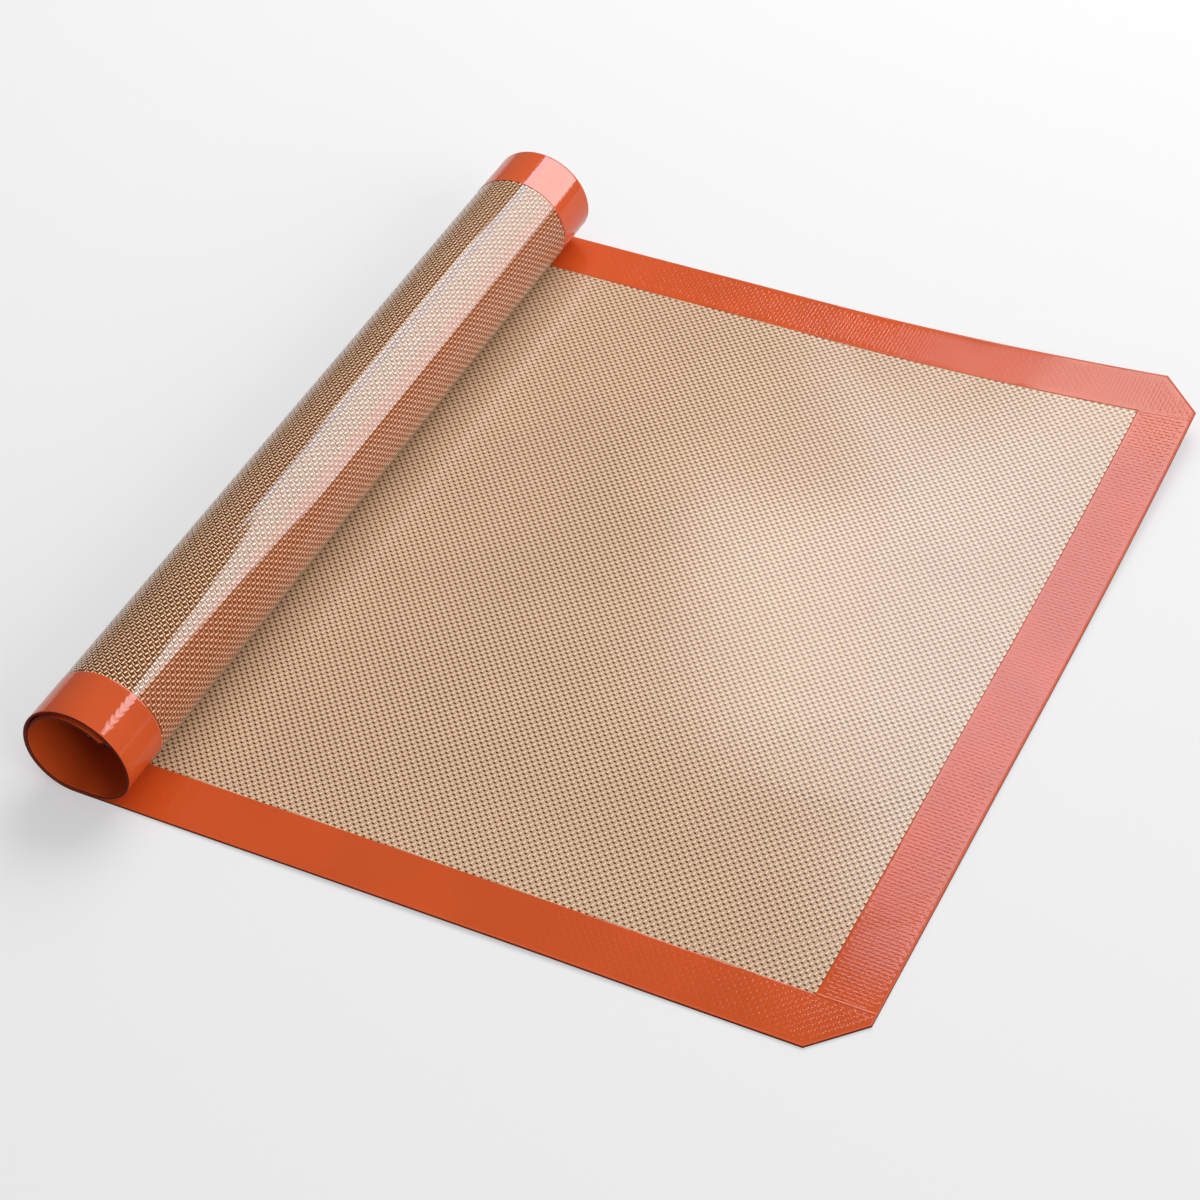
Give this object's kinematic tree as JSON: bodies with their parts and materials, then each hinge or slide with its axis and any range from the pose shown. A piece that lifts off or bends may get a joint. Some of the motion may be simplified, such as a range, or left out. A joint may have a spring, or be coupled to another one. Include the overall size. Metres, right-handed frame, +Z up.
{
  "type": "silicone baking mat",
  "caption": "Thin silicone baking mat with a see-through woven middle, a coloured border and cut corners, lying flat with its far end rolled up.",
  "frame": {"origin": "centre of the object's own box, on the table it lies on", "axes": "+X along the mat's length from the roll to the flat end, +Y across the mat, along the roll's axis, towards the side whose corner curls up, +Z up"},
  "size_m": [0.258, 0.295, 0.0327],
  "materials": {
    "clear_silicone": "satin, see-through",
    "orange_silicone": "satin",
    "edge_silicone": "satin",
    "glass_yarn": "woven"
  },
  "bodies": {
    "root": {"woven_glass_cloth": "glass_yarn", "cut_edge_seal": "edge_silicone", "top_silicone_coat": "clear_silicone", "underside_silicone_coat": "clear_silicone", "front_side_border_top": "orange_silicone", "back_side_border_top": "orange_silicone", "flat_end_border_top": "orange_silicone", "rolled_end_border_top": "orange_silicone", "front_side_border_underside": "orange_silicone", "back_side_border_underside": "orange_silicone", "flat_end_border_underside": "orange_silicone", "rolled_end_border_underside": "orange_silicone"}
  },
  "joints": []
}
